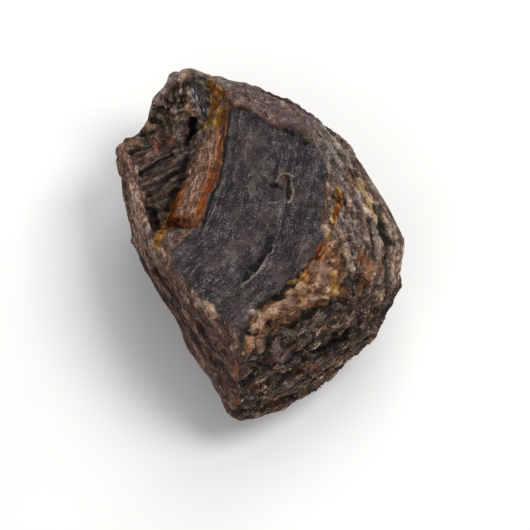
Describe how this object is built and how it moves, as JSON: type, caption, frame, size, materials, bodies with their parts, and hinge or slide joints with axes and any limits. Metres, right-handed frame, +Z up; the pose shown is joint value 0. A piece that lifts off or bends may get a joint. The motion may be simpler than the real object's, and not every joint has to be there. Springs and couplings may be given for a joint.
{
  "type": "raw amber piece",
  "caption": "Raw lump of amber with a slate-dark broad face, rough brown skin, a fracture hollow and an orange glassy vein.",
  "frame": {"origin": "centre of the bounding box, on the flat that the lump rests on", "axes": "+Z up from the resting flat to the broad slate face, +Y along the lump from its narrow foot to its head, +X towards the rounded shoulder"},
  "size_m": [0.0488, 0.0608, 0.0275],
  "materials": {
    "amber_skin": "dull rough natural resin skin, slate brown"
  },
  "bodies": {
    "root": {"raw_amber": "amber_skin"}
  },
  "joints": []
}
